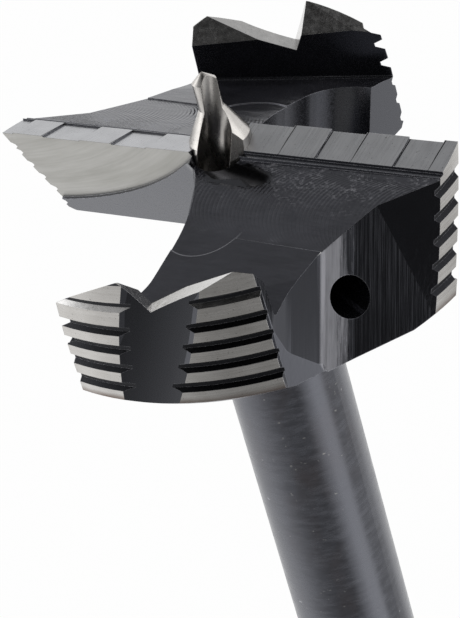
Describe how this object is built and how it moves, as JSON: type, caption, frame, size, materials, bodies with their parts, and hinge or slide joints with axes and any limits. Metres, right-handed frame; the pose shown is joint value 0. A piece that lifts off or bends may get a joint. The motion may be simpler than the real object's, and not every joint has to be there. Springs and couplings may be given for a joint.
{
  "type": "forstner bit",
  "caption": "Heavy saw-tooth forstner bit with two hooked lips, a grooved rim, a replaceable centre point and a straight round shank.",
  "frame": {"origin": "centre of the flat end face of the shank", "axes": "+Z along the axis from the shank end to the centre point, +X along the lip of half A"},
  "size_m": [0.065, 0.065, 0.1196],
  "materials": {
    "black_oxide_steel": "black oxide, satin, with bright ground lands",
    "bright_steel": "ground bright",
    "screw_steel": "black"
  },
  "bodies": {
    "root": {"body": "black_oxide_steel", "center_point": "bright_steel", "set_screw": "screw_steel"}
  },
  "joints": []
}
